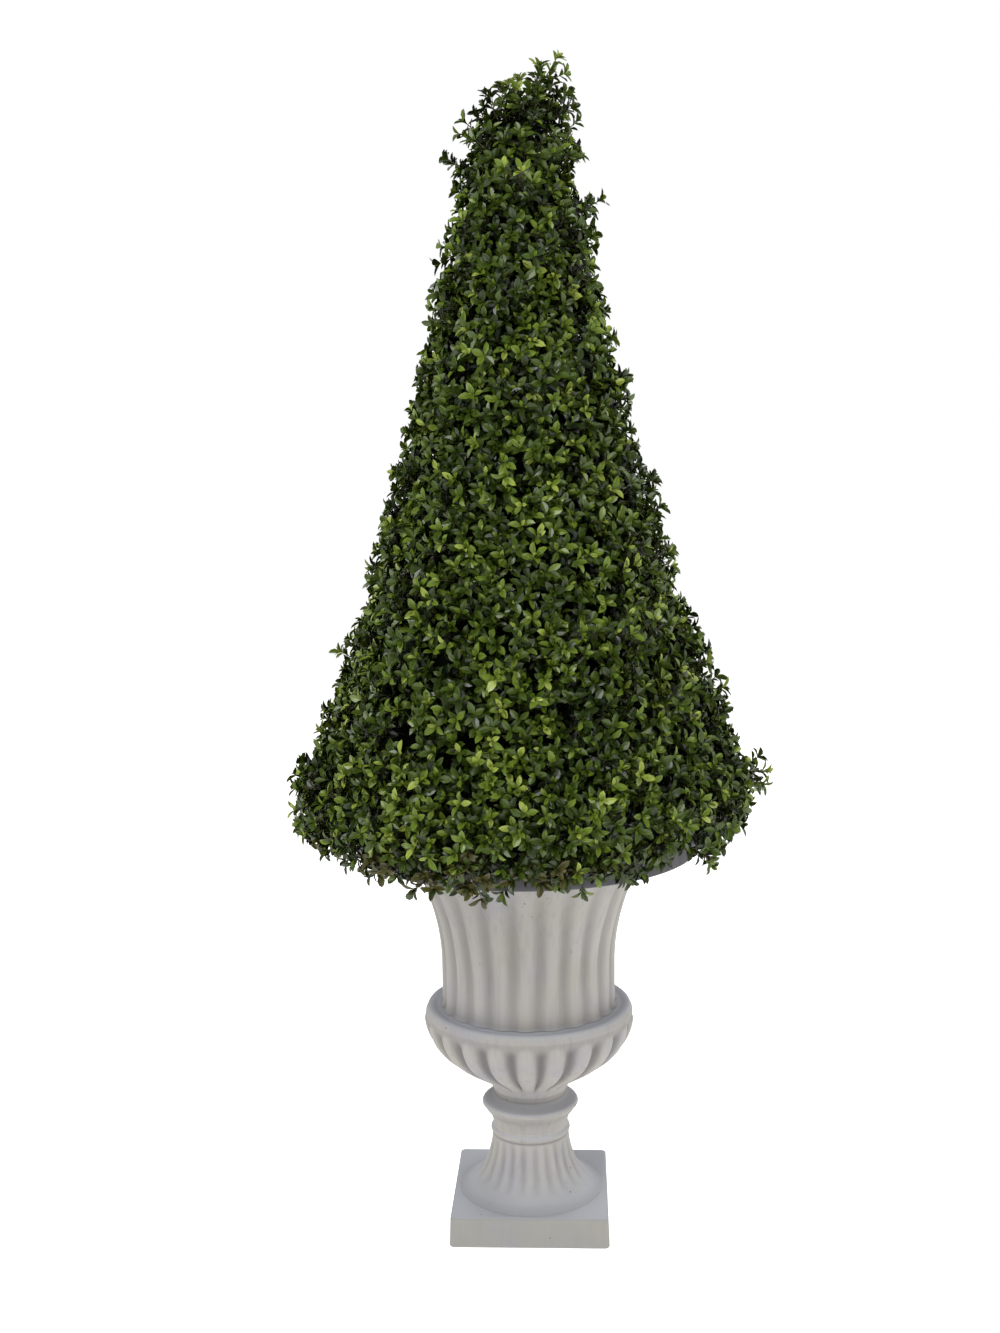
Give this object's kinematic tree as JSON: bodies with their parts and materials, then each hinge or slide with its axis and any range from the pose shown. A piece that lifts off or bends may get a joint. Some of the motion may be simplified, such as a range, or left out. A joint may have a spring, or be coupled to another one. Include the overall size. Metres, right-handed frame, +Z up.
{
  "type": "artificial boxwood cone topiary in urn",
  "caption": "Clipped artificial boxwood cone on a round base and central stem, standing in a fluted stone-look urn on a square plinth.",
  "frame": {"origin": "middle of the plinth's flat underside, where the urn stands on the ground", "axes": "+Z up the stem, -Y to the front, +X to the right of someone facing the front"},
  "size_m": [0.5089, 0.5098, 1.219],
  "materials": {
    "urn": "matt stone-look resin, pale grey with darker grey in the grooves",
    "fill": "rough grey setting compound",
    "base": "dark grey moulded plastic, matt",
    "stem": "brown pole with bark relief",
    "foliage": "semi-matt green leaves, yellow-green at the tips"
  },
  "bodies": {
    "root": {"urn_plinth": "urn", "urn_foot": "urn", "urn_knop": "urn", "urn_bowl": "urn", "urn_body": "urn", "urn_fill": "fill", "cone_base": "base", "stem": "stem", "foliage_skirt": "foliage", "foliage_lower": "foliage", "foliage_middle": "foliage", "foliage_upper": "foliage", "foliage_tip": "foliage"}
  },
  "joints": []
}
